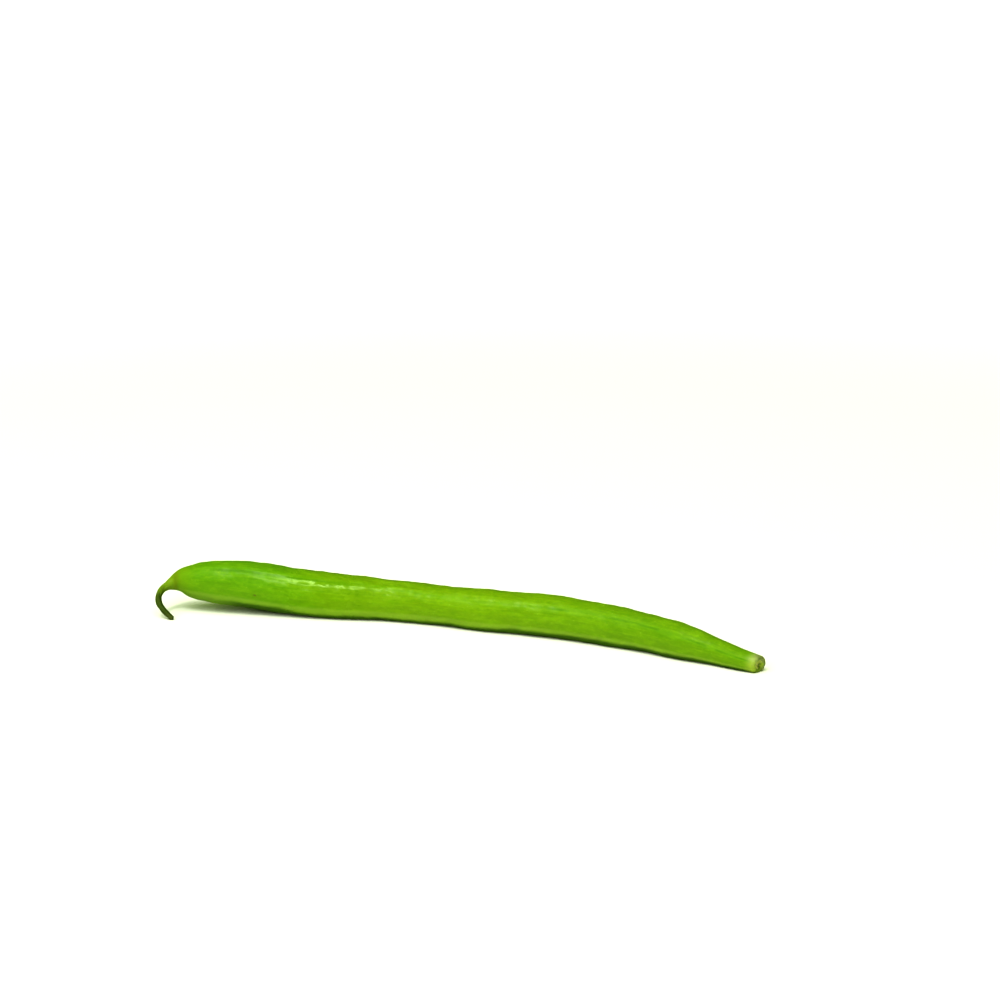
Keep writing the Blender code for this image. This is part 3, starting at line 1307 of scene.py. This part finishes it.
@dataclass
class StemScar:
    """The face of the stem scar: a plug of torn tissue in the hole inside the lip."""

    shape: BeanShape
    lip: StemLip = field(default_factory=StemLip)
    finish: ScarTissue = field(default_factory=ScarTissue)
    steps: int = 34
    edge_overlap: float = 0.04
    face_depth: float = -0.20 * MM
    back_depth: float = 0.84 * MM
    pit_frontward: float = -0.24
    pit_upward: float = -0.16
    pit_share: float = 0.42
    pit_floor_share: float = 1 / 3  # of the pit's own reach
    pit_depth: float = 0.36 * MM
    bundles: int = 9
    bundle_share: float = 0.33
    bundle_width: float = 0.035
    bundle_height: float = 0.10 * MM
    bundle_wander: float = 0.03
    bundle_wander_waves: int = 3
    bundle_wander_turn: float = 1.0
    fibre_height: float = 0.07 * MM
    fibres_outward: float = 9.0  # noise cells from the middle of the face to its edge
    fibres_around: float = 3.2  # the radius of the face, in the cells round it

    def build(self) -> bpy.types.Object:
        """Makes the plug's mesh and puts its finish on.

        Returns:
            The piece.
        """
        edge = self.lip.share(self.shape) + self.edge_overlap
        shares = np.linspace(edge / self.steps, edge, self.steps)
        depths = self.face_depth + self._relief(shares)
        reach = self.lip.reach(self.shape)
        level = np.ones_like(depths)
        ways = (shares[:, None] - self.lip.share(self.shape)) * reach * level
        face = Rings(np.zeros(self.steps), shares[:, None] * level, depths, ways)
        back = Rings(np.zeros(1), edge * level[:1], self.back_depth * level[:1], ways[-1:])
        patch = self.shape.patch(face.then(back))
        pit = self._pit(shares)
        patch.facts["pit"] = np.vstack([pit, 0 * pit[:1]])
        start, end = patch.points[0].mean(axis=0), patch.points[-1].mean(axis=0)
        piece = add_piece("stem_scar", loft("stem_scar", patch, start, end))
        self.finish.dress(piece)
        return piece

    def _relief(self, shares: Array) -> Array:
        """How far the pit, the bundles and the torn fibres take the face back.

        Args:
            shares: The share of the bean's reach at which each ring lies.

        Returns:
            Depths, one row for each ring.
        """
        around = self.shape.turns[None, :]
        share = shares[:, None]
        wander = self.bundle_wander * np.sin(self.bundle_wander_waves * around + self.bundle_wander_turn)
        ring = hill(share - self.bundle_share - wander, self.bundle_width)
        bundles = self.bundle_height * ring * np.maximum(0.0, np.cos(self.bundles * around / 2)) ** 2
        circle = self.fibres_around * np.stack([np.cos(around), np.sin(around)])
        places = np.stack(np.broadcast_arrays(share * self.fibres_outward, *circle), axis=-1)
        fibres = self.fibre_height * rough(places, octaves=3)
        pit = self._pit(shares)
        return self.pit_depth * pit - (bundles - fibres) * (1 - pit)

    def _pit(self, shares: Array) -> Array:
        """How deep in the pit each point of the face is, from 0 to 1.

        Args:
            shares: The share of the bean's reach at which each ring lies.

        Returns:
            Depths, one row for each ring.
        """
        around = self.shape.seams.angle(np.zeros(1)) + self.shape.turns[None, :]
        frontward = shares[:, None] * np.cos(around) - self.pit_frontward
        upward = shares[:, None] * np.sin(around) - self.pit_upward
        return smooth(np.hypot(frontward, upward), self.pit_share, self.pit_share * self.pit_floor_share)


@dataclass
class Studio:
    """A white table under soft light, and the camera. Lengths are in metres.

    The table sheds a little light of its own where it runs far from the bean, so that it stays white
    there. The light from all round is tinted.
    """

    floor_half: float = 9.0
    floor_white: Colour = (0.90, 0.90, 0.82)
    lit_from: float = 0.25
    lit_to: float = 0.9
    lit_strength: float = 0.5
    sky_tint: Colour = (0.74, 1.0, 0.32)
    sky_seen: float = 2.6
    sky_on_matt: float = 0.29
    sky_in_gloss: float = 0.10
    overhead_towards: Place = (-0.10, -0.72, 1.0)
    overhead_spread: float = radians(80)
    overhead_strength: float = 2.36
    key_towards: Place = (-0.130, -0.461, 0.866)
    key_away: float = 1.0
    key_width: float = 0.14
    key_height: float = 0.32
    key_watts: float = 2.2
    camera_at: Place = (0.16306, -0.44591, 0.14735)
    camera_aim: Place = (-0.02935, 0.11289, 0.0)
    lens_mm: float = 85.0
    sensor_mm: float = 36.0
    clip_near: float = 0.01
    clip_far: float = 50.0

    def build(self) -> None:
        """Makes the floor, the lights and the camera."""
        self._floor()
        self._sky()
        self._overhead()
        self._key()
        self._camera()

    def _floor(self) -> None:
        """The table that the bean lies on, lit up where it runs far away from the bean."""
        half = self.floor_half
        mesh = bpy.data.meshes.new("table")
        corners = [(-half, -half, 0.0), (half, -half, 0.0), (half, half, 0.0), (-half, half, 0.0)]
        mesh.from_pydata(corners, [], [(0, 1, 2, 3)])
        table = bpy.data.objects.new("table", mesh)
        bpy.context.scene.collection.objects.link(table)
        table.visible_glossy = False
        graph = Graph.of_material("table")
        place = graph.node("ShaderNodeNewGeometry", {}, {}, "Position")
        away = graph.node("ShaderNodeVectorMath", {"operation": "LENGTH"}, {0: place}, "Value")
        graph.finish(
            PRINCIPLED,
            {"Emission Color": away.step(self.lit_from, self.lit_to)},
            {
                "Base Color": self.floor_white,
                "Roughness": 0.9,
                "Specular IOR Level": 0.1,
                "Emission Strength": self.lit_strength,
            },
        )
        wear(table, graph)

    def _sky(self) -> None:
        """Tinted light from all round, dimmer where it is mirrored and brighter to the camera."""
        world = bpy.data.worlds.new("studio")
        world.use_nodes = True
        bpy.context.scene.world = world
        graph = Graph(world.node_tree)
        seen = graph.node("ShaderNodeLightPath", {}, {}, "Is Camera Ray")
        mirrored = graph.node("ShaderNodeLightPath", {}, {}, "Is Glossy Ray")
        strength = (
            self.sky_on_matt
            + seen * (self.sky_seen - self.sky_on_matt)
            + mirrored * (self.sky_in_gloss - self.sky_on_matt)
        )
        graph.finish("Background", {"Strength": strength}, {"Color": self.sky_tint})

    def _overhead(self) -> None:
        """Wide soft light from above, which isn't mirrored in the bean's skin."""
        light = bpy.data.lights.new("overhead", "SUN")
        light.energy = self.overhead_strength
        light.angle = self.overhead_spread
        self._hang(light, self.overhead_towards).visible_glossy = False

    def _key(self) -> None:
        """The soft box over the table's front edge, which makes the highlight."""
        light = bpy.data.lights.new("soft_box", "AREA")
        light.shape = "RECTANGLE"
        light.size, light.size_y = self.key_width, self.key_height
        light.energy = self.key_watts
        self._hang(light, self.key_towards)

    def _hang(self, light: bpy.types.Light, towards: Place) -> bpy.types.Object:
        """Hangs a light in this direction from the bean, and points it at the bean.

        Args:
            light: What the lamp holds.
            towards: The direction, of any length.

        Returns:
            The lamp.
        """
        lamp = bpy.data.objects.new(light.name, light)
        direction = Vector(towards).normalized()
        lamp.location = direction * self.key_away
        lamp.rotation_euler = direction.to_track_quat("Z", "Y").to_euler()
        bpy.context.scene.collection.objects.link(lamp)
        return lamp

    def _camera(self) -> None:
        """The camera, where the photograph was taken from."""
        scene = bpy.context.scene
        data = bpy.data.cameras.new("camera")
        data.lens = self.lens_mm
        data.sensor_width = self.sensor_mm
        data.clip_start, data.clip_end = self.clip_near, self.clip_far
        camera = bpy.data.objects.new("camera", data)
        camera.location = self.camera_at
        direction = Vector(self.camera_aim) - Vector(self.camera_at)
        camera.rotation_euler = direction.to_track_quat("-Z", "Y").to_euler()
        scene.collection.objects.link(camera)
        scene.camera = camera
        scene.view_settings.view_transform = "Standard"
        scene.view_settings.look = "High Contrast"


def farthest_from_solid(pieces: list[bpy.types.Object]) -> float:
    """The greatest distance of the pieces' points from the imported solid's surface.

    Args:
        pieces: What is measured, with the hidden points that close the pieces where they meet.

    Returns:
        The distance in metres.
    """
    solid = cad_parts[CAD_NODE].data
    faces = [tuple(polygon.vertices) for polygon in solid.polygons]
    tree = BVHTree.FromPolygons([v.co for v in solid.vertices], faces)
    points = (v.co for piece in pieces for v in piece.data.vertices)
    return max(tree.find_nearest(point)[3] for point in points)


def main() -> None:
    """Builds the bean and the studio round it, and reports each piece."""
    logging.basicConfig(level=logging.INFO, format="%(name)s: %(message)s")
    shape = BeanShape()
    shape.settle(*CAD_BOX)
    pieces = [part.build() for part in (Pod(shape), Beak(shape), StemScar(shape))]
    for piece in pieces:
        LOG.info("%s: %d faces", piece.name, len(piece.data.polygons))
    LOG.info("farthest from the solid: %.2f mm", farthest_from_solid(pieces) / MM)
    Studio().build()


if __name__ == "__main__":
    main()
